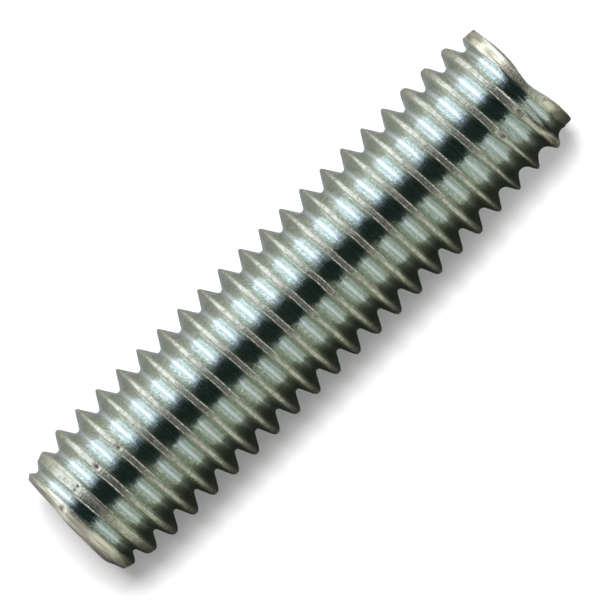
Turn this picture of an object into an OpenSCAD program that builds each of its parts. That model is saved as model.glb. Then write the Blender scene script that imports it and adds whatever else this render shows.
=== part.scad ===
// Threaded rod: a short zinc-plated steel rod with one right-hand rolled thread along its whole
// length. Thread 5/16 inch, 18 turns to the inch; rod 1-1/4 inches long. Its two ends are cut flat,
// and the crests run out to a smaller diameter over the last turns at each end.
// Millimetres. The rod stands on its lower end: +Z is its axis, and the origin is the centre of
// the lower end face.

/* [Rod] */
// Length from end face to end face
rod_length = 31.75; // [10:0.25:120]
// Diameter over the crests of the thread
major_d = 7.86; // [4:0.02:20]

/* [Thread] */
// Distance along the axis from one crest to the next
pitch = 1.411; // [0.5:0.001:3]
// Angle between the two flanks of the groove
flank_angle = 60; // [45:1:75]
// Width of the flat on each crest
crest_flat = 0.17; // [0.05:0.01:0.5]
// Radius of the rounded bottom of the groove
root_radius = 0.19; // [0.03:0.01:0.5]
// Angle, round from +X, at which a crest crosses the lower end face
thread_start = 191; // [0:1:359]

/* [Lower end] */
// Diameter of the flat end face
lower_face_d = 5.6; // [1:0.1:16]
// Height of the chamfer round the face
lower_chamfer = 0.35; // [0.05:0.01:2]
// How much lower the crests are where the chamfer begins
lower_run_out = 0.58; // [0.05:0.01:2]
// Length over which the crests rise to their full height
lower_run_out_length = 3.6; // [0.5:0.1:12]

/* [Upper end] */
// Diameter of the flat end face
upper_face_d = 5.6; // [1:0.1:16]
// Height of the chamfer round the face
upper_chamfer = 0.3; // [0.05:0.01:2]
// How much lower the crests are where the chamfer begins
upper_run_out = 0.66; // [0.05:0.01:2]
// Length over which the crests rise to their full height
upper_run_out_length = 7.5; // [0.5:0.1:12]
// How far the worn upper end is off centre, towards -X
upper_offset = 0.13; // [0:0.01:0.4]

/* [Smoothness] */
// Flat facets in one turn of the thread
turn_facets = 32; // [16:2:60]
// Flat facets across the rounded bottom of the groove
root_facets = 3; // [2:1:6]
// Steps along the curve that turns the crests down
run_out_steps = 5; // [2:1:16]
// Facets round the turned ends
end_facets = 96; // [24:8:180]

/* [Hidden] */
zinc = [0.76, 0.78, 0.73];
major_r = major_d / 2;

// The bottom of the groove is an arc that meets both flanks at a tangent
half_flank = flank_angle / 2;
root_half_angle = 90 - half_flank;
root_half_width = root_radius * sin(root_half_angle);
root_rise = root_radius * (1 - cos(root_half_angle));
flank_width = (pitch - crest_flat) / 2 - root_half_width;
minor_r = major_r - flank_width / tan(half_flank) - root_rise;

// The flanks rise a little past the crests, so that the blank's own surface makes the crests
flank_spare = 0.25 * crest_flat / tan(half_flank);
crest_edge = 0.25 * crest_flat;

// One pitch of the section as [height, radius] points: crest edge, groove, next crest edge
root_arc = [
    for (i = [0 : root_facets])
        let (a = root_half_angle * (2 * i / root_facets - 1))
        [pitch / 2 + root_radius * sin(a), minor_r + root_radius * (1 - cos(a))]
];
section = concat(
    [[crest_edge, major_r + flank_spare]],
    root_arc,
    [[pitch - crest_edge, major_r + flank_spare]]
);

// The helix runs past both end faces, so that they cut through a full thread
spare_turns = 0.25;
turns_before = 1 + spare_turns;
steps = ceil((turns_before + rod_length / pitch + spare_turns) * turn_facets);

function turn(step) = step / turn_facets - turns_before;

// An arc that leaves the full diameter at a tangent and has dropped by `drop` at height 0
function run_out(height, drop, length) =
    let (r = (length * length + drop * drop) / (2 * drop))
    r - sqrt(r * r - pow(length - height, 2));

// The whole thread as one solid: sections on a helix, closed by a fan at either end
module thread() {
    n = len(section);
    points = [
        for (s = [0 : steps])
            let (a = thread_start + 360 * turn(s))
            for (p = section) [p[1] * cos(a), p[1] * sin(a), p[0] + pitch * turn(s)]
    ];
    groove_faces = [
        for (s = [0 : steps - 1], i = [0 : n - 2])
            let (a = s * n + i, b = a + n)
            each [[a, b + 1, b], [a, a + 1, b + 1]]
    ];
    crest_faces = [
        for (s = [0 : steps - turn_facets - 1])
            let (a = s * n + n - 1, b = a + n, up = (s + turn_facets) * n)
            each [[a, up + n, b], [a, up, up + n]]
    ];

    // Each fan spreads from a point on the axis, level with the end of its rim
    low_rim = concat(
        [for (i = [0 : n - 1]) i],
        [for (s = [turn_facets : -1 : 1]) s * n]
    );
    high_rim = concat(
        [for (s = [steps - turn_facets : steps]) s * n + n - 1],
        [for (i = [n - 2 : -1 : 0]) steps * n + i]
    );
    low_centre = len(points);
    high_centre = low_centre + 1;
    centres = [
        [0, 0, section[0][0] + pitch * turn(turn_facets)],
        [0, 0, section[n - 1][0] + pitch * turn(steps - turn_facets)]
    ];
    low_fan = [
        for (i = [0 : len(low_rim) - 1])
            [low_centre, low_rim[(i + 1) % len(low_rim)], low_rim[i]]
    ];
    high_fan = [
        for (i = [0 : len(high_rim) - 1])
            [high_centre, high_rim[(i + 1) % len(high_rim)], high_rim[i]]
    ];
    polyhedron(concat(points, centres), concat(groove_faces, crest_faces, low_fan, high_fan));
}

// A turned end, standing on its face, with plain rod of radius r above it up to the given height
module turned_end(r, face_d, chamfer, drop, length, height) {
    curve = [
        for (i = [0 : run_out_steps])
            let (h = length * i / run_out_steps)
            [r - run_out(h, drop, length), chamfer + h]
    ];
    outline = concat([[0, 0], [face_d / 2, 0]], curve, [[r, height], [0, height]]);
    rotate_extrude($fn = end_facets) polygon(outline);
}

module lower_end() {
    turned_end(
        major_r, lower_face_d, lower_chamfer, lower_run_out, lower_run_out_length, rod_length + pitch
    );
}

module upper_end() {
    translate([-upper_offset, 0, rod_length]) mirror([0, 0, 1]) turned_end(
        major_r + upper_offset, upper_face_d, upper_chamfer, upper_run_out, upper_run_out_length,
        rod_length + pitch
    );
}

module threaded_rod() {
    color(zinc) intersection() {
        thread();
        lower_end();
        upper_end();
    }
}

threaded_rod();
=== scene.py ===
"""Threaded rod: the finished surface of the rod, its zinc plating, and a plain light studio.

The rod stands on its lower end, with its axis along +Z. Lengths in the mesh code are millimetres,
and the mesh is scaled to metres when it is made.
"""

import math

import bmesh
import bpy
import numpy as np
from mathutils import Matrix, Vector

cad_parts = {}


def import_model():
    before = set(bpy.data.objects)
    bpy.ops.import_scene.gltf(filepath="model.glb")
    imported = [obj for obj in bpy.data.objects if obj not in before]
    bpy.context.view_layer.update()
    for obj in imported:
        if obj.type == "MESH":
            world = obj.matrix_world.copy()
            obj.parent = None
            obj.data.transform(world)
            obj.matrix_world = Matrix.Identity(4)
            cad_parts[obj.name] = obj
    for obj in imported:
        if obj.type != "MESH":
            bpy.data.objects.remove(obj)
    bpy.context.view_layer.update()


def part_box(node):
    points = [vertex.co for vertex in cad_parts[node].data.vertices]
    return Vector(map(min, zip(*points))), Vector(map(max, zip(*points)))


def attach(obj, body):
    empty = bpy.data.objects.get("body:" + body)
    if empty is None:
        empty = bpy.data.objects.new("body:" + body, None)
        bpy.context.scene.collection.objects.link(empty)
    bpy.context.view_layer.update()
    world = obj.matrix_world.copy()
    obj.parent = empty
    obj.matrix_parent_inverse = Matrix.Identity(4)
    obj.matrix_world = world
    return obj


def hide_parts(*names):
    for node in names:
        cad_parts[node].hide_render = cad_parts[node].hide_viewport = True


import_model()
rod_low, rod_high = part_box("threaded_rod")

MM = 0.001

# The rod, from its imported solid
LENGTH = (rod_high.z - rod_low.z) / MM
MAJOR_R = (rod_high.x - rod_low.x) / 2 / MM
MIDDLE = Vector((0, 0, LENGTH / 2 * MM))

# The thread, as in the part's source
PITCH = 1.411
HALF_FLANK = math.radians(30)
CREST_FLAT = 0.17
ROOT_RADIUS = 0.19
THREAD_START = math.radians(191)

# The lower run-out, as in the part's source: drop of the crests, height of the chamfer where
# they drop most, and length; and how much further out the first crest is on the +X side
LOWER_DROP, LOWER_SHOULDER, LOWER_LENGTH = 0.58, 0.35, 3.6
FIRST_CREST_OFF = 0.04

# The upper run-out: length, drop all round, and further drop on the +X side
UPPER_LENGTH, UPPER_DROP, UPPER_DROP_PLUS_X = 7.5, 0.08, 0.37

# The last crest at the upper end is crushed: how far on the mean, how much more towards +X and
# towards the front, and how uneven the crests there are
CRUSHED, CRUSHED_PLUS_X, CRUSHED_FRONT = 0.35, 0.07, 0.14
UPPER_UNEVEN = 0.05

# The end faces: the lower one's ledge; and the upper one's slant, its tilt along X, and the
# depth, middle and half width of its hollow
LEDGE = 0.09
SLANT, TILT = 0.15, 0.04
HOLLOW, HOLLOW_X, HOLLOW_HALF_WIDTH = 0.3, 0.3, 1.1

# Their rims: radius, how much that changes towards X, and how uneven it is; and the heights of
# the chamfers, and how much those change towards X
LOWER_FACE_R, LOWER_FACE_OFF, LOWER_FACE_UNEVEN = 2.78, 0.28, 0.03
UPPER_FACE_R, UPPER_FACE_OFF, UPPER_FACE_UNEVEN = 2.75, 0.2, 0.05
LOWER_CHAMFER, LOWER_CHAMFER_OFF = 0.3, 0.08
UPPER_CHAMFER, UPPER_CHAMFER_OFF = 0.1, 0.05

# How far rolling has spread each crest, on either side, how far it leans towards the lower end,
# and how much narrower the crests are: on the -X side, except near the upper end, and there on
# the +X side
CREST_SPREAD = 0.05
CREST_LEAN = 0.03
SHARPER = 0.6
SHARPER_PLUS_X = 0.45

# The least flank left beside a crest that is cut wide, the most that the flanks of a crest that
# was never full are moved in, and the least height between two points on a flank
LEAST_FLANK = 0.1
MOST_UNFULL = 0.16
LEAST_STEP = 0.02

# Rounding of each crest's edges: how far it reaches down the flank, and in over the crest
ROUND_DOWN = 0.21
ROUND_IN = 0.09

# The lowered crests at the lower end are rounded in further, by this share of their extra width
ROUND_WIDE = 0.45

# The seam that rolling leaves along the middle of each crest
SEAM_HALF_WIDTH = 0.024
SEAM_DEPTH = 0.015

# Uneven rolling and wear of the crests, worn edges near the ends, and dents all over
WANDER = 0.015
WIDER = 0.15
WEAR = 0.008
EDGE_WEAR = 0.04
DENTS = 0.004

# The last crest is smeared towards the upper end: middle and half width of this as angles, how far
# it is below the end, and how far it spreads the crest
SMEAR_ANGLE, SMEAR_HALF_ANGLE, SMEAR_BELOW, SMEAR_SPREAD = math.radians(336), 0.38, 1.6, 0.26

# Smooth noise: how wide its bumps are, and its seed
NOISE = {
    "wander": (1.1, 5),
    "width": (0.8, 8),
    "wear": (0.5, 6),
    "dashes": (0.3, 7),
    "dents": (0.35, 9),
    "lower_rim": (0.8, 21),
    "upper_rim": (0.7, 22),
    "upper_crests": (0.9, 23),
}

# How finely the thread and the end faces are divided
COLUMNS = 168
EDGE_STEPS = 4
FLANK_STEPS = 2
ROOT_STEPS = 4
FACE_RINGS = (0.97, 0.85, 0.6, 0.35, 0.12)

# Small marks on the crests: turns up from the lower end, degrees round from the front towards
# +X, millimetres above the crest's middle, radius, depth, and how dark
MARKS = (
    (0, -16.3, 0.1, 0.18, 0.03, 0.75),
    (1, -18.1, -0.22, 0.1, 0.04, 0.95),
    (1, -18.1, 0.03, 0.1, 0.04, 0.95),
    (2, -17.6, -0.03, 0.13, 0.06, 1.0),
    (3, -16.1, -0.04, 0.11, 0.05, 1.0),
    (20, 17.3, 0.0, 0.13, 0.1, 0.7),
    (21, 14.4, 0.06, 0.17, 0.03, 0.9),
    (21, 38.0, 0.25, 0.2, 0.04, 0.4),
    (22, -1.5, -0.2, 0.12, 0.02, 0.9),
    (22, 4.0, -0.05, 0.09, 0.02, 0.8),
)


# ---------------------------------------------------------------- noise

def lattice_noise(points, cell, seed):
    """Smooth noise in -1..1 at an (n, 3) array of points, with bumps about one cell wide."""
    rng = np.random.default_rng(seed)
    table = rng.uniform(-1, 1, 4096)
    scaled = points / cell
    base = np.floor(scaled).astype(np.int64)
    part = scaled - base
    part = part * part * (3 - 2 * part)
    total = np.zeros(len(points))
    for corner in range(8):
        step = np.array([(corner >> 2) & 1, (corner >> 1) & 1, corner & 1])
        at = base + step
        index = (at[:, 0] * 73856093 ^ at[:, 1] * 19349663 ^ at[:, 2] * 83492791) % 4096
        weight = np.prod(np.where(step == 1, part, 1 - part), axis=1)
        total += weight * table[index]
    return total


def noise_on(r, angle, z, kind):
    """One kind of that noise at points given by radius, angle and height."""
    r, angle, z = np.broadcast_arrays(r, angle, z)
    at = np.stack([r * np.cos(angle), r * np.sin(angle), z], axis=-1).reshape(-1, 3)
    return lattice_noise(at, *NOISE[kind]).reshape(z.shape)


def smooth_step(value, start, stop):
    """From 0 at start to 1 at stop, level at both."""
    t = np.clip((value - start) / (stop - start), 0, 1)
    return t * t * (3 - 2 * t)


# ---------------------------------------------------------------- the two ends

def lower_face_z(x, y):
    """Height of the lower end face: flat, with a shallow ledge on the -X side."""
    return LEDGE * smooth_step(-x, 0.2, 1.3)


def upper_face_z(x, y):
    """Height of the upper end face, which is worn aslant and has a hollow across it."""
    slant = SLANT - TILT * x
    hollow = HOLLOW * np.exp(-((x - HOLLOW_X) / HOLLOW_HALF_WIDTH) ** 2)
    return LENGTH - slant - hollow


def lower_face_r(angle):
    """Radius of the lower end face, round its uneven rim."""
    uneven = LOWER_FACE_UNEVEN * noise_on(3.0, angle, 0.0, "lower_rim")
    return LOWER_FACE_R - LOWER_FACE_OFF * np.cos(angle) + uneven


def upper_face_r(angle):
    """Radius of the upper end face, round its uneven rim."""
    uneven = UPPER_FACE_UNEVEN * noise_on(3.0, angle, 9.0, "upper_rim")
    return UPPER_FACE_R + UPPER_FACE_OFF * np.cos(angle) + uneven


def lower_chamfer(angle):
    """Height of the lower end's chamfer."""
    return LOWER_CHAMFER + LOWER_CHAMFER_OFF * np.cos(angle)


def upper_chamfer(angle):
    """Height of the upper end's chamfer, which is nearly worn away."""
    return UPPER_CHAMFER - UPPER_CHAMFER_OFF * np.cos(angle)


def lower_z(angle):
    """Height of the lower end face's rim."""
    r = lower_face_r(angle)
    return lower_face_z(r * np.cos(angle), r * np.sin(angle))


def upper_z(angle):
    """Height of the upper end face's rim."""
    r = upper_face_r(angle)
    return upper_face_z(r * np.cos(angle), r * np.sin(angle))


def beside_face(height, face_r, chamfer, turned, bare):
    """Radius allowed at a height in from a face: a chamfer, then a turned radius by height."""
    shoulder = turned(chamfer)
    cone = face_r + (shoulder - face_r) * np.clip(height, 0, None) / chamfer
    return np.where(height < chamfer, shoulder if bare else cone, turned(height))


def lower_allowed(angle, z, bare):
    """Radius that the worn lower end leaves."""
    def turned(height):
        drop = LOWER_DROP * np.clip(1 - (height - LOWER_SHOULDER) / LOWER_LENGTH, 0, 1) ** 2
        return MAJOR_R - drop + FIRST_CREST_OFF * np.cos(angle) * (height < 2)

    face_r, chamfer = lower_face_r(angle), lower_chamfer(angle)
    return beside_face(z - lower_z(angle), face_r, chamfer, turned, bare)


def upper_allowed(angle, z, bare):
    """Radius that the worn upper end leaves, with its last crest crushed all round."""
    smeared = smooth_step(np.cos(angle), 0.6, 0.95)
    backed = smooth_step(-np.cos(angle), 0.3, 0.9)

    def turned(height):
        taper = UPPER_DROP + UPPER_DROP_PLUS_X * ((1 + np.cos(angle)) / 2) ** 3
        taper = taper * np.clip(1 - height / UPPER_LENGTH, 0, 1)
        crushed = CRUSHED + CRUSHED_PLUS_X * np.cos(angle) - CRUSHED_FRONT * np.sin(angle)
        uneven = UPPER_UNEVEN * noise_on(MAJOR_R, angle, height, "upper_crests")
        uneven = uneven * np.clip(2 - height / 2, 0, 1)
        start = 0.45 + 0.3 * smeared + 0.25 * backed
        stop = 0.85 + 0.45 * smeared + 0.3 * backed
        whole = smooth_step(height, start, stop)
        return MAJOR_R - taper - crushed * (1 - whole) - uneven

    face_r, chamfer = upper_face_r(angle), upper_chamfer(angle)
    return beside_face(upper_z(angle) - z, face_r, chamfer, turned, bare)


def allowed_radius(angle, z, bare=False):
    """Largest radius that the worn ends leave at an angle and a height, bare of their chamfers."""
    angle, z = np.broadcast_arrays(angle, z)
    ends = np.minimum(lower_allowed(angle, z, bare), upper_allowed(angle, z, bare))
    return np.minimum(ends, MAJOR_R)


def flattening(angle, z):
    """How far a lowered crest is one that was cut flat, and not one that was never full."""
    never_full = 0.6 + 0.4 * smooth_step(np.cos(angle), 0.2, 0.8)
    return 1 - never_full * smooth_step(z, 7, 12) * smooth_step(LENGTH - z, 0.9, 1.4)


def worn_off(r, limit, near):
    """The radius cut to its limit, with the edge that this leaves rounded over near the ends."""
    gap = (r - limit) / EDGE_WEAR
    rounded = limit - EDGE_WEAR * np.log1p(np.exp(-np.clip(gap, -30, 30)))
    rounded = np.where(gap < -30, r, rounded)
    return np.minimum(r, limit) * (1 - near) + rounded * near


# ---------------------------------------------------------------- the thread's form

ROOT_HALF_ANGLE = math.pi / 2 - HALF_FLANK
ROOT_HALF_WIDTH = ROOT_RADIUS * math.sin(ROOT_HALF_ANGLE)
ROOT_RISE = ROOT_RADIUS * (1 - math.cos(ROOT_HALF_ANGLE))
FLANK_WIDTH = (PITCH - CREST_FLAT) / 2 - ROOT_HALF_WIDTH
MINOR_R = MAJOR_R - FLANK_WIDTH / math.tan(HALF_FLANK) - ROOT_RISE


def thread_grid():
    """Every point of the thread, one column up the rod for each angle.

    Returns the angles, and arrays by column and row: height, radius, and how much of the point
    is crest, seam, root and the flank that faces down, which is given painted shade; then how
    many rows make one turn.
    """
    turns = np.arange(-1, math.ceil(LENGTH / PITCH) + 2)
    angle = 2 * math.pi * np.arange(COLUMNS) / COLUMNS
    even = PITCH * (turns[None, :] + (angle[:, None] - THREAD_START) / (2 * math.pi))
    ang = np.broadcast_to(angle[:, None], even.shape)
    below_top = LENGTH - even
    crest_z = even + WANDER * noise_on(MAJOR_R, ang, even, "wander")
    widen = noise_on(MAJOR_R, ang, even, "width")
    worn = WEAR * (1 + noise_on(MAJOR_R, ang, even, "wear"))
    dashes = noise_on(MAJOR_R, ang, even, "dashes")
    near_top = smooth_step(even, LENGTH - 7, LENGTH - 5)
    size = 1 - SHARPER * smooth_step(-np.cos(ang), 0.5, 1) * smooth_step(below_top, 4.5, 7)
    size = size - SHARPER_PLUS_X * smooth_step(np.cos(ang), 0.2, 0.8) * near_top
    round_smear = ((ang - SMEAR_ANGLE) / SMEAR_HALF_ANGLE) ** 2
    smear = np.exp(-round_smear - ((below_top - SMEAR_BELOW) / 0.5) ** 2)

    def corner(side):
        """Where a flank would meet the crest, and how the crest ends there.

        Returns its distance from the crest's middle, its radius, how far its rounding reaches in
        over the crest, and how far its flank is moved in because the crest was never full.
        """
        wide = (CREST_SPREAD + CREST_FLAT / 2) * size * (1 + WIDER * widen * side)
        wide = wide - CREST_LEAN * size * side + SMEAR_SPREAD * smear * (side > 0)
        out = wide
        for _ in range(6):
            top = allowed_radius(ang, crest_z + side * out, bare=True) - worn
            spread = (MAJOR_R - top) * math.tan(HALF_FLANK)
            out = wide + spread * flattening(ang, crest_z)
            out = np.minimum(out, PITCH / 2 - ROOT_HALF_WIDTH - LEAST_FLANK)
        inward = ROUND_IN * size + ROUND_WIDE * spread * (crest_z < LENGTH / 2)
        unfull = np.minimum(spread * (1 - flattening(ang, crest_z)), MOST_UNFULL)
        return out, top, inward, unfull

    def half(side):
        """The points from the root's tangent up to the crest's flat, on one side of the crest.

        Returns them as distance, radius and share of crest, then the flat's edge, its radius and
        the radius of the root's arc.
        """
        out, top, inward, unfull = corner(side)
        radius = ROOT_RADIUS + unfull / math.tan(HALF_FLANK)
        root_z = PITCH / 2 - radius * math.sin(ROOT_HALF_ANGLE)
        root_r = MINOR_R + radius * (1 - math.cos(ROOT_HALF_ANGLE))
        out = np.minimum(out, root_z - 2 * LEAST_STEP)
        foot_z = np.minimum(out + ROUND_DOWN * math.sin(HALF_FLANK), root_z - LEAST_STEP)
        foot_r = top - ROUND_DOWN * math.cos(HALF_FLANK)
        foot_r = np.maximum(foot_r, np.minimum(top, root_r))
        points = []
        for i in range(FLANK_STEPS):
            k = i / FLANK_STEPS
            points.append((root_z + (foot_z - root_z) * k, root_r + (foot_r - root_r) * k, 0))
        for i in range(EDGE_STEPS):
            k = i / EDGE_STEPS  # a curve from the flank, by way of the corner, to the flat
            dz = (1 - k) ** 2 * foot_z + 2 * k * (1 - k) * out + k * k * (out - inward)
            r = (1 - k) ** 2 * foot_r + 2 * k * (1 - k) * top + k * k * top
            points.append((dz, r, k))
        return points, out - inward, top, radius

    rows = []

    def add(dz, r, crest=0.0, seam=0.0, root=0.0, under=0.0):
        rows.append((crest_z + dz, r, crest, seam, root, under))

    def groove(side, steps, radius):
        """Adds points of the root's arc, on one side of its middle."""
        for i in steps:
            a = ROOT_HALF_ANGLE * i / ROOT_STEPS
            r = MINOR_R + radius * (1 - math.cos(a))
            add(side * (PITCH / 2 - radius * math.sin(a)), r, root=1 - (i / ROOT_STEPS) ** 2)

    lower, low_edge, low_top, low_radius = half(-1)
    upper, high_edge, high_top, high_radius = half(1)
    groove(-1, range(ROOT_STEPS), low_radius)
    # The flanks on the lower side face down; the under mark darkens them there with painted shade
    for dz, r, crest in lower:
        add(-dz, r, crest, under=1.0)
    middle = (low_top + high_top) / 2
    seam_z = (high_edge - low_edge) / 2
    seam_half = np.minimum(SEAM_HALF_WIDTH * size, 0.3 * (high_edge + low_edge))
    add(-low_edge, low_top, 1.0)
    add(seam_z - seam_half, middle, 1.0)
    seam = np.clip(0.45 + 1.1 * dashes, 0, 1) * smooth_step(middle, MAJOR_R - 0.2, MAJOR_R - 0.05)
    add(seam_z, middle - SEAM_DEPTH * seam, 1.0, seam)
    add(seam_z + seam_half, middle, 1.0)
    add(high_edge, high_top, 1.0)
    for dz, r, crest in reversed(upper):
        add(dz, r, crest)
    groove(1, range(ROOT_STEPS - 1, 0, -1), high_radius)

    def stack(index):
        """One of the values in every row, by column and row."""
        parts = [np.broadcast_to(np.asarray(row[index], float), crest_z.shape) for row in rows]
        return np.stack(parts, axis=2).reshape(COLUMNS, -1)

    return angle, *(stack(index) for index in range(6)), len(rows)


def mark_places():
    """Where each small mark is: its place on the surface, size, depth and darkness."""
    for turn, degrees, off, size, depth, dark in MARKS:
        angle = math.radians(270 + degrees)
        z = PITCH * (turn + (angle - THREAD_START) / (2 * math.pi)) + off
        r = float(allowed_radius(angle, z))
        yield (r * math.cos(angle), r * math.sin(angle), z), size, depth, dark


def press_marks(ang, z, r):
    """Sinks the small marks into the surface."""
    x, y = r * np.cos(ang), r * np.sin(ang)
    for at, size, depth, _ in mark_places():
        away = np.hypot(np.hypot(x - at[0], y - at[1]), z - at[2]) / size
        r = r - depth * np.exp(-away ** 2)
    return r


def trim_columns(z, r, rim, edge, end, side):
    """Ends every column at the end face, with the point before that on the chamfer's edge.

    The points on the edge are marked in rim.
    """
    for heights, radii, marks, corner, last in zip(z, r, rim, edge, end):
        beyond = np.flatnonzero(side * (heights - corner) >= 0)
        nearest = beyond[0] if side > 0 else beyond[-1]
        at_corner, at_end = np.interp((corner, last), heights, radii)
        heights[beyond] = last
        radii[beyond] = at_end
        radii[nearest] = at_corner
        heights[nearest] = corner
        marks[nearest] = 1


def make_rod():
    """The rod's mesh, as one closed surface with its marks for the material."""
    angle, z, r, crest, seam, root, under, per_turn = thread_grid()
    ang = np.broadcast_to(angle[:, None], z.shape)
    bottom, top = lower_z(angle), upper_z(angle)
    rim = np.zeros(z.shape)
    trim_columns(z, r, rim, bottom + lower_chamfer(angle), bottom, -1)
    trim_columns(z, r, rim, top - upper_chamfer(angle), top, 1)
    bottom, top = bottom[:, None], top[:, None]
    below, above = z <= bottom, z >= top
    r = r + DENTS * noise_on(r, ang, z, "dents")
    limit = allowed_radius(ang, z)
    matt = 1 - 0.6 * smooth_step(z - bottom - lower_chamfer(ang), 0.25, 0.45)
    cut = np.clip((r - limit) / 0.02, 0, 1) * matt
    round_smear = ((ang - SMEAR_ANGLE) / 0.4) ** 2
    smear = np.exp(-round_smear - ((LENGTH - z - 1.45) / 0.35) ** 2)
    cut = np.maximum(cut, crest * np.clip(1.5 * smear, 0, 1))
    near = smooth_step(np.maximum(bottom + 2 - z, z - top + 2), 0, 1)
    r = press_marks(ang, z, worn_off(r, limit, near))

    columns, rows = z.shape
    points = np.stack([r * np.cos(ang), r * np.sin(ang), z], axis=2).reshape(-1, 3)
    here = np.arange(z.size).reshape(z.shape)

    # The grid closes on itself one turn up
    after = np.roll(here, -1, axis=0).copy()
    after[-1, :] = -1
    after[-1, : rows - per_turn] = here[0, per_turn:]
    quads = np.stack([here[:, :-1], after[:, :-1], after[:, 1:], here[:, 1:]], axis=2)
    quads = quads.reshape(-1, 4)
    quads = quads[(quads >= 0).all(axis=1)]
    beyond = below.reshape(-1)[quads].all(axis=1) | above.reshape(-1)[quads].all(axis=1)
    quads = quads[~beyond]

    # Near the ends the chamfers' edges run along one diagonal of the quads
    split = (near.reshape(-1)[quads] > 0).any(axis=1)
    faces = quads[~split].tolist()
    faces += quads[split][:, (0, 1, 3)].tolist() + quads[split][:, (1, 2, 3)].tolist()

    # Each end face is rings of points inside the last points of the columns
    names = ("crest", "seam", "root", "under", "cut", "rim", "face")
    on_face = (1, 0, 0, 0, 1, 0, 1)
    marks = (crest, seam, root, under, cut, rim, np.zeros(z.shape))
    marks = [values.reshape(-1) for values in marks]
    points = [points]
    total = z.size
    for row, height, down in ((0, lower_face_z, True), (rows - 1, upper_face_z, False)):
        last = here[:, row]
        outer = last
        for f in (*FACE_RINGS, 0.0):
            count = columns if f else 1
            x = f * points[0][last[:count], 0]
            y = f * points[0][last[:count], 1]
            points.append(np.stack([x, y, height(x, y) + np.zeros(count)], axis=1))
            inner = total + np.arange(count)
            total += count
            inside = np.broadcast_to(inner, columns)
            ring = (outer, np.roll(outer, -1), np.roll(inside, -1), inside)
            for a, b, c, d in zip(*(side.tolist() for side in ring)):
                face = [a, b, c] if c == d else [a, b, c, d]
                faces.append(face[::-1] if down else face)
            outer = inner
            for k, value in enumerate(on_face):
                marks[k] = np.concatenate([marks[k], np.full(count, float(value))])

    mesh = bpy.data.meshes.new("rod")
    mesh.from_pydata((np.concatenate(points) * MM).tolist(), [], faces)
    for name, values in zip(names, marks):
        attribute = mesh.attributes.new(name, "FLOAT", "POINT")
        attribute.data.foreach_set("value", values.astype(np.float32))
    piece = bpy.data.objects.new("rod", mesh)
    bpy.context.scene.collection.objects.link(piece)
    join_points(piece)
    return piece


def join_points(piece):
    """Joins the points that lie on each other, and keeps the chamfers' edges sharp."""
    bm = bmesh.new()
    bm.from_mesh(piece.data)
    bmesh.ops.remove_doubles(bm, verts=bm.verts, dist=1e-7)
    bmesh.ops.dissolve_degenerate(bm, dist=1e-8, edges=bm.edges)
    loose = [v for v in bm.verts if not v.link_faces]
    bmesh.ops.delete(bm, geom=loose, context="VERTS")
    bmesh.ops.recalc_face_normals(bm, faces=bm.faces)
    for face in bm.faces:
        face.smooth = True
    rim = bm.verts.layers.float["rim"]
    for edge in bm.edges:
        edge.smooth = not all(v[rim] > 0.5 for v in edge.verts)
    bm.to_mesh(piece.data)
    bm.free()


# ---------------------------------------------------------------- zinc plating

# Colours: two shades of zinc, the groove bottoms, painted shade on the flanks that face down and
# the dark grain; then the worn crests, their blotches and seams, the cut ends and their streaks,
# and the marks
ZINC, ZINC_COOL = (0.9, 0.91, 0.85, 1), (0.84, 0.9, 0.88, 1)
GROOVE = (0.76, 0.81, 0.87, 1)
# Painted shade, blended onto the flanks that face down
UNDERSIDE_SHADE = (0.52, 0.54, 0.46, 1)
GRAIN = (0.5, 0.52, 0.45, 1)
CREAM, CREAM_DARK = (0.64, 0.61, 0.515, 1), (0.38, 0.37, 0.3, 1)
SEAM = (0.34, 0.3, 0.22, 1)
CUT, CUT_DARK = (0.86, 0.79, 0.66, 1), (0.4, 0.38, 0.28, 1)
MARK = (0.06, 0.045, 0.03, 1)

# Detail per metre of the noise and of the saw marks
PATCHES, BLOTCHES, GRAINS, STREAKS, SAW = 900.0, 4200.0, 9000.0, 6000.0, 1100.0

# Relief, in metres
GRAIN_DEPTH, SAW_DEPTH = 1.3e-5, 2e-5


class Nodes:
    """A short way to add the nodes of one material or world."""

    def __init__(self, tree):
        self.tree = tree

    def add(self, kind, inputs=None, **settings):
        """A node; each input is a constant or another node's output."""
        node = self.tree.nodes.new(kind)
        for name, value in settings.items():
            setattr(node, name, value)
        for name, value in (inputs or {}).items():
            if isinstance(value, bpy.types.NodeSocket):
                self.tree.links.new(value, node.inputs[name])
            else:
                node.inputs[name].default_value = value
        return node

    def attribute(self, name):
        return self.add("ShaderNodeAttribute", attribute_name=name).outputs["Fac"]

    def noise(self, place, scale, detail=2.0):
        inputs = {"Vector": place, "Scale": scale, "Detail": detail}
        return self.add("ShaderNodeTexNoise", inputs).outputs["Fac"]

    def ramp(self, value, low, high, start=0.0, stop=1.0):
        """The value's range low..high, stretched to start..stop."""
        inputs = {
            "Value": value, "From Min": low, "From Max": high, "To Min": start, "To Max": stop
        }
        return self.add("ShaderNodeMapRange", inputs).outputs["Result"]

    def math(self, operation, a, b):
        return self.add("ShaderNodeMath", {0: a, 1: b}, operation=operation).outputs[0]

    def blend(self, factor, a, b):
        inputs = {"Factor": factor, "A": a, "B": b}
        return self.add("ShaderNodeMix", inputs, data_type="RGBA").outputs["Result"]


def stains(n, place):
    """How much of each point is under one of the small dark marks."""
    total = None
    for at, size, _, dark in mark_places():
        centre = tuple(x * MM for x in at)
        apart = n.add("ShaderNodeVectorMath", {0: place, 1: centre}, operation="DISTANCE")
        mark = n.ramp(apart.outputs["Value"], 0.5 * size * MM, 1.3 * size * MM, dark, 0.0)
        total = n.math("MAXIMUM", total, mark) if total else mark
    return total


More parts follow.
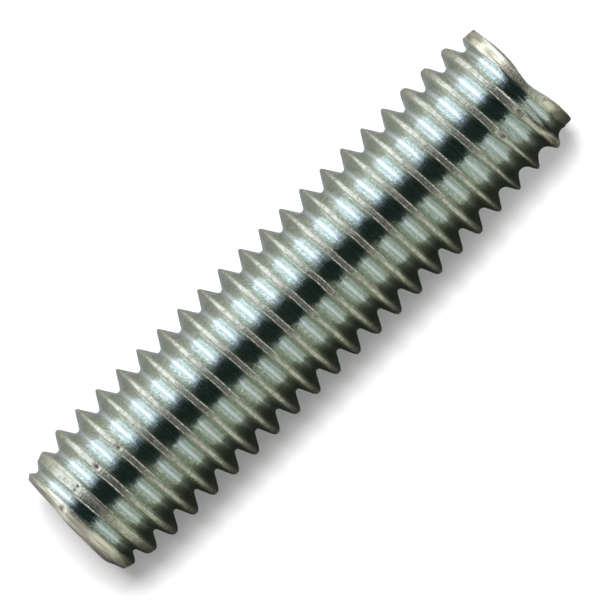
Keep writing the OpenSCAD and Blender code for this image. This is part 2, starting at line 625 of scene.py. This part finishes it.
def zinc_material():
    """Bright zinc in the grooves, and worn matt crests, cut ends and marks."""
    material = bpy.data.materials.new("zinc_plating")
    material.use_nodes = True
    n = Nodes(material.node_tree)
    shader = material.node_tree.nodes["Principled BSDF"]
    link = material.node_tree.links.new
    place = n.add("ShaderNodeTexCoord").outputs["Object"]
    crest, seam, cut, face = (n.attribute(name) for name in ("crest", "seam", "cut", "face"))
    root, under = n.attribute("root"), n.attribute("under")
    stain = stains(n, place)
    patches = n.noise(place, PATCHES, 3.0)
    blotches = n.noise(place, BLOTCHES, 3.0)
    grain = n.noise(place, GRAINS)
    round_it = n.add("ShaderNodeVectorMath", {0: place, 1: (0.1, 0.1, 1.0)}, operation="MULTIPLY")
    streaks = n.noise(round_it.outputs[0], STREAKS)

    # Colour: two shades of zinc, bluer in the grooves, painted shade on the flanks that face down,
    # cream crests with darker blotches, and dark seams and marks
    speckle = n.math("MULTIPLY", n.ramp(grain, 0.42, 0.6), n.ramp(root, 0.0, 0.7, 1.0, 0.25))
    bright = n.blend(n.ramp(patches, 0.35, 0.65), ZINC, ZINC_COOL)
    bright = n.blend(root, bright, GROOVE)
    # Painted shade darkens the flanks that face down
    bright = n.blend(n.ramp(under, 0.0, 1.0, 0.0, 0.42), bright, UNDERSIDE_SHADE)
    bright = n.blend(speckle, bright, GRAIN)
    cream = n.blend(n.ramp(blotches, 0.42, 0.7), CREAM, CREAM_DARK)
    dark_seam = n.math("MULTIPLY", seam, n.ramp(blotches, 0.4, 0.6))
    worn = n.blend(dark_seam, cream, SEAM)
    mixed = n.blend(crest, bright, worn)
    ends = n.blend(n.ramp(streaks, 0.42, 0.62), CUT, CUT_DARK)
    surface = n.blend(n.ramp(cut, 0.0, 0.4), mixed, ends)
    link(n.blend(stain, surface, MARK), shader.inputs["Base Color"])

    # Shine: the grooves are glossy with a little grain, and the crests, cuts and marks more matt
    matt = n.math("MAXIMUM", n.math("MULTIPLY", cut, 0.35), stain)
    metal = n.math("MULTIPLY", n.ramp(crest, 0.0, 1.0, 1.0, 0.91), n.ramp(matt, 0.0, 1.0, 1.0, 0.5))
    link(metal, shader.inputs["Metallic"])
    glossy = n.ramp(grain, 0.3, 0.7, 0.1, 0.18)
    rubbed = n.ramp(grain, 0.35, 0.65, 0.22, 0.34)
    rough = n.add("ShaderNodeMix", {"Factor": crest, "A": glossy, "B": rubbed}, data_type="FLOAT")
    dull = n.math("MAXIMUM", n.math("MULTIPLY", cut, 0.32), n.math("MULTIPLY", stain, 0.6))
    link(n.math("MAXIMUM", rough.outputs["Result"], dull), shader.inputs["Roughness"])

    # Relief: fine grain all over, and saw marks on the end faces
    saw = n.add("ShaderNodeTexWave", {"Vector": place, "Scale": SAW, "Distortion": 2.0})
    marks = n.math("MULTIPLY", saw.outputs["Fac"], face)
    rough_grain = n.math("MULTIPLY", grain, n.ramp(root, 0.0, 0.7, 1.0, 0.5))
    fine = {"Height": rough_grain, "Strength": 1.0, "Distance": GRAIN_DEPTH}
    fine = n.add("ShaderNodeBump", fine)
    cuts = {"Height": marks, "Distance": SAW_DEPTH, "Normal": fine.outputs[0]}
    cuts = n.add("ShaderNodeBump", cuts)
    link(cuts.outputs[0], shader.inputs["Normal"])
    return material


# ---------------------------------------------------------------- studio

# A light tent that only the metal sees: its radius, the elevation where it is open above and
# below, how finely it is divided in degrees, and its dark cloth
TENT_RADIUS = 0.4
TENT_TOP = 70
TENT_STEP = 2
TENT_DARK = (0.009, 0.02, 0.016)

# Its pale back: brightness towards +X and towards -X, and the azimuth and elevation of its edges
# with how wide each is; and the same for a dimmer card beside it on the +X side
BACK_PLUS_X, BACK_MINUS_X, BACK_EDGE, BACK_TOP = 0.8, 0.6, (120, 20), (45, 16)
BESIDE, BESIDE_EDGE, BESIDE_TOP = 0.23, (105, 30), (24, 16)

# Its cards. Each is the azimuths of its edges, from the camera's side towards +X, and how wide
# each edge is; the elevation of its edges and how wide they are; and its brightness.
CARDS = {
    "window": ((-102, 20), (-31, 28), (44, 20), (0.9, 1.05, 1.22)),
    "window_side": ((-180, 20), (-102, 20), (60, 20), (0.42, 0.48, 0.52)),
    "window_tall": ((-150, 30), (-36, 24), (66, 8), (0.42, 0.44, 0.4)),
    "side_near": ((30, 6), (76, 20), (34, 20), (0.335, 0.38, 0.37)),
    "side_far": ((76, 20), (106, 30), (34, 20), (0.26, 0.29, 0.26)),
    "side_tall": ((31, 8), (108, 30), (66, 8), (0.27, 0.29, 0.24)),
}

# Strips of the paper beside the rod, in its own shade, that only the metal sees: places along X
# in radii of the rod, the brightness at each, and the strip's tint
STRIPS = {
    "shaded_side": ((1, 2, 4, 16), (0.02, 0.025, 0.09, 0.26), (1.0, 1.1, 0.8)),
    "lit_side": ((-1, -2, -4, -8, -16), (0.28, 0.42, 0.6, 0.72, 0.92), (1.0, 1.05, 0.98)),
}
STRIP_HALF_LENGTH = 0.2

# How far the strips and the paper are behind the rod, in millimetres
STRIP_BEHIND, PAPER_BEHIND = 0.04, 0.05
PAPER_HALF = 0.025
PAPER = (0.85, 0.85, 0.85, 1)
WHITE = (1, 1, 1, 1)
FILL = (0.42, 0.42, 0.425, 1)

# Lamps: azimuth and elevation, size, and the level at which they light the object
LAMP_DISTANCE = 0.5
LAMPS = {
    "key": ((-17.3, 3.4), (0.16, 0.17), 0.86),
    "top": ((-30, 80), (0.3, 0.3), 0.85),
}


def material_with(name):
    """A new material with no nodes in it, and its nodes."""
    material = bpy.data.materials.new(name)
    material.use_nodes = True
    material.node_tree.nodes.clear()
    return material, Nodes(material.node_tree)


def stage_piece(name, points, faces, material, seen_by):
    """A floor, a backdrop or a card, which only the named kinds of ray see."""
    mesh = bpy.data.meshes.new(name)
    mesh.from_pydata(points, [], faces)
    mesh.materials.append(material)
    obj = bpy.data.objects.new(name, mesh)
    bpy.context.scene.collection.objects.link(obj)
    for kind in ("camera", "diffuse", "glossy", "shadow", "transmission", "volume_scatter"):
        setattr(obj, "visible_" + kind, kind in seen_by)
    return obj


def rectangle(name, centre, across, up, material, seen_by):
    """A flat piece: its centre, and the vectors from there to two of its edges."""
    centre, across, up = Vector(centre), Vector(across), Vector(up)
    signs = ((-1, -1), (1, -1), (1, 1), (-1, 1))
    corners = [centre + across * i + up * j for i, j in signs]
    return stage_piece(name, corners, [(0, 1, 2, 3)], material, seen_by)


def direction(azimuth, elevation):
    """The way to an azimuth, from the camera's side towards +X, and an elevation."""
    a, e = math.radians(azimuth), math.radians(elevation)
    return Vector((math.sin(a) * math.cos(e), -math.cos(a) * math.cos(e), math.sin(e)))


def soft(value, edge, width):
    """From 0 below an edge to 1 above it, over a width."""
    return float(smooth_step(value, edge - width / 2, edge + width / 2))


def tent_light(azimuth, elevation):
    """Brightness of the tent in one direction: its dark cloth, and each card on it."""
    behind = soft(abs(azimuth), *BACK_EDGE) * soft(abs(elevation), *BACK_TOP)
    behind *= BACK_PLUS_X if azimuth > 0 else BACK_MINUS_X
    if azimuth > 0:
        beside = BESIDE * soft(azimuth, *BESIDE_EDGE) * soft(abs(elevation), *BESIDE_TOP)
        behind = max(behind, beside)
    light = Vector(TENT_DARK) + Vector((1, 1, 1)) * behind
    for (left, left_edge), (right, right_edge), (top, top_edge), colour in CARDS.values():
        along = soft(azimuth, left, left_edge) * (1 - soft(azimuth, right, right_edge))
        light += Vector(colour) * along * (1 - soft(abs(elevation), top, top_edge))
    return light


def lit_cloth(name, points, faces, light):
    """A piece of the stage that only the metal sees, with a brightness at each of its points."""
    material, n = material_with(name)
    colour = n.add("ShaderNodeAttribute", attribute_name="light").outputs["Color"]
    glow = n.add("ShaderNodeEmission", {"Color": colour})
    n.add("ShaderNodeOutputMaterial", {"Surface": glow.outputs[0]})
    cloth = stage_piece(name, points, faces, material, {"glossy"})
    attribute = cloth.data.attributes.new("light", "FLOAT_COLOR", "POINT")
    attribute.data.foreach_set("color", light)


def tent():
    """A ball of cloth with bright cards on it, open at the top and the bottom."""
    azimuths = range(-180, 181, TENT_STEP)
    elevations = range(-TENT_TOP, TENT_TOP + 1, TENT_STEP)
    points, light = [], []
    for azimuth in azimuths:
        for elevation in elevations:
            points.append(MIDDLE + direction(azimuth, elevation) * TENT_RADIUS)
            light += [*tent_light(azimuth, elevation), 1.0]
    rows = len(elevations)
    faces = [
        (k, k + 1, k + rows + 1, k + rows)
        for i in range(len(azimuths) - 1)
        for k in range(i * rows, i * rows + rows - 1)
    ]
    lit_cloth("tent", points, faces, light)


def strip(name, places, levels, colour):
    """A strip in the plane of the paper, beside the rod, with a level at each place along X."""
    y, half = (MAJOR_R + STRIP_BEHIND) * MM, STRIP_HALF_LENGTH
    points, light = [], []
    for x, level in zip(places, levels):
        points += [(x * MAJOR_R * MM, y, MIDDLE.z - half), (x * MAJOR_R * MM, y, MIDDLE.z + half)]
        light += [*(level * c for c in colour), 1.0] * 2
    faces = [(k, k + 2, k + 3, k + 1) for k in range(0, 2 * len(places) - 2, 2)]
    lit_cloth(name, points, faces, light)


def lamp(name, towards, size, level):
    """A soft rectangular light, at which a white surface that faces it renders at the level."""
    data = bpy.data.lights.new(name, "AREA")
    data.shape = "RECTANGLE"
    data.size, data.size_y = size
    data.energy = level * 4 * math.pi * LAMP_DISTANCE ** 2
    obj = bpy.data.objects.new(name, data)
    bpy.context.scene.collection.objects.link(obj)
    obj.location = MIDDLE + towards * LAMP_DISTANCE
    obj.rotation_mode = "QUATERNION"
    obj.rotation_quaternion = towards.to_track_quat("Z", "Y")
    obj.visible_glossy = False
    obj.visible_camera = False


def world():
    """White to the camera, metal and glass, and a low fill for everything else."""
    sky = bpy.data.worlds.new("studio")
    bpy.context.scene.world = sky
    sky.use_nodes = True
    sky.cycles.sampling_method = "NONE"
    sky.node_tree.nodes.clear()
    n = Nodes(sky.node_tree)
    path = n.add("ShaderNodeLightPath").outputs
    seen = n.math("MAXIMUM", path["Is Camera Ray"], path["Is Glossy Ray"])
    seen = n.math("MAXIMUM", seen, path["Is Transmission Ray"])
    fill = n.add("ShaderNodeBackground", {"Color": FILL})
    white = n.add("ShaderNodeBackground", {"Color": WHITE})
    mix = n.add("ShaderNodeMixShader", {0: seen, 1: fill.outputs[0], 2: white.outputs[0]})
    n.add("ShaderNodeOutputWorld", {"Surface": mix.outputs[0]})


def paper_material():
    """White paper that is clear from behind."""
    material, n = material_with("paper")
    matt = n.add("ShaderNodeBsdfDiffuse", {"Color": PAPER})
    clear = n.add("ShaderNodeBsdfTransparent")
    behind = n.add("ShaderNodeNewGeometry").outputs["Backfacing"]
    mix = n.add("ShaderNodeMixShader", {0: behind, 1: matt.outputs[0], 2: clear.outputs[0]})
    n.add("ShaderNodeOutputMaterial", {"Surface": mix.outputs[0]})
    return material


def floor_material():
    """White paper under the rod, which fades into the white of the background round it."""
    material, n = material_with("floor")
    matt = n.add("ShaderNodeBsdfDiffuse", {"Color": PAPER})
    white = n.add("ShaderNodeEmission", {"Color": WHITE})
    place = n.add("ShaderNodeNewGeometry").outputs["Position"]
    away = n.add("ShaderNodeVectorMath", {0: place}, operation="LENGTH").outputs["Value"]
    faded = n.ramp(away, *FLOOR_FADE)
    mix = n.add("ShaderNodeMixShader", {0: faded, 1: matt.outputs[0], 2: white.outputs[0]})
    n.add("ShaderNodeOutputMaterial", {"Surface": mix.outputs[0]})
    return material


# The camera looks level at the rod's middle: its distance in metres, its lens in millimetres, and
# the rod's slant in the view in degrees
CAMERA_DISTANCE = 0.535
LENS = 650
ROD_SLANT = 44.53

# The floor rises a little towards the camera, which so sees it edge-on, and it touches the
# front of the rod's lower end. It fades to white between two distances from the rod.
FLOOR_TOUCH = 0.0029
FLOOR_FADE = (0.01, 0.04)
FLOOR_SLOPE = MIDDLE.z / (CAMERA_DISTANCE - FLOOR_TOUCH)
FLOOR_NEAR, FLOOR_FAR, FLOOR_HALF_WIDTH = -0.25, 1.5, 1.5


def studio():
    """The tent, the strips, the lamps, and the paper behind and under the rod."""
    world()
    tent()
    for name, (places, levels, colour) in STRIPS.items():
        strip(name, places, levels, colour)
    for name, (towards, size, level) in LAMPS.items():
        lamp(name, direction(*towards), size, level)
    back = (0, (MAJOR_R + PAPER_BEHIND) * MM, MIDDLE.z)
    across, up = (PAPER_HALF, 0, 0), (0, 0, PAPER_HALF)
    rectangle("paper", back, across, up, paper_material(), {"camera"})
    y, reach = (FLOOR_NEAR + FLOOR_FAR) / 2, (FLOOR_FAR - FLOOR_NEAR) / 2
    middle = (0, y, -(y + FLOOR_TOUCH) * FLOOR_SLOPE)
    across, away = (FLOOR_HALF_WIDTH, 0, 0), (0, reach, -reach * FLOOR_SLOPE)
    rectangle("floor", middle, across, away, floor_material(), {"camera"})


def camera():
    """A long lens, level with the rod's middle and rolled to the photograph's slant."""
    data = bpy.data.cameras.new("camera")
    data.lens = LENS
    obj = bpy.data.objects.new("camera", data)
    bpy.context.scene.collection.objects.link(obj)
    obj.location = MIDDLE - Vector((0, CAMERA_DISTANCE, 0))
    look = (MIDDLE - obj.location).to_track_quat("-Z", "Y").to_matrix().to_4x4()
    roll = Matrix.Rotation(math.radians(90 - ROD_SLANT), 4, "Z")
    obj.matrix_world = Matrix.Translation(obj.location) @ look @ roll
    bpy.context.scene.camera = obj


def main():
    """Makes the rod and the studio."""
    rod = make_rod()
    rod.data.materials.append(zinc_material())
    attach(rod, "root")
    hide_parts("threaded_rod")
    studio()
    camera()
    bpy.context.scene.view_settings.view_transform = "Standard"


main()
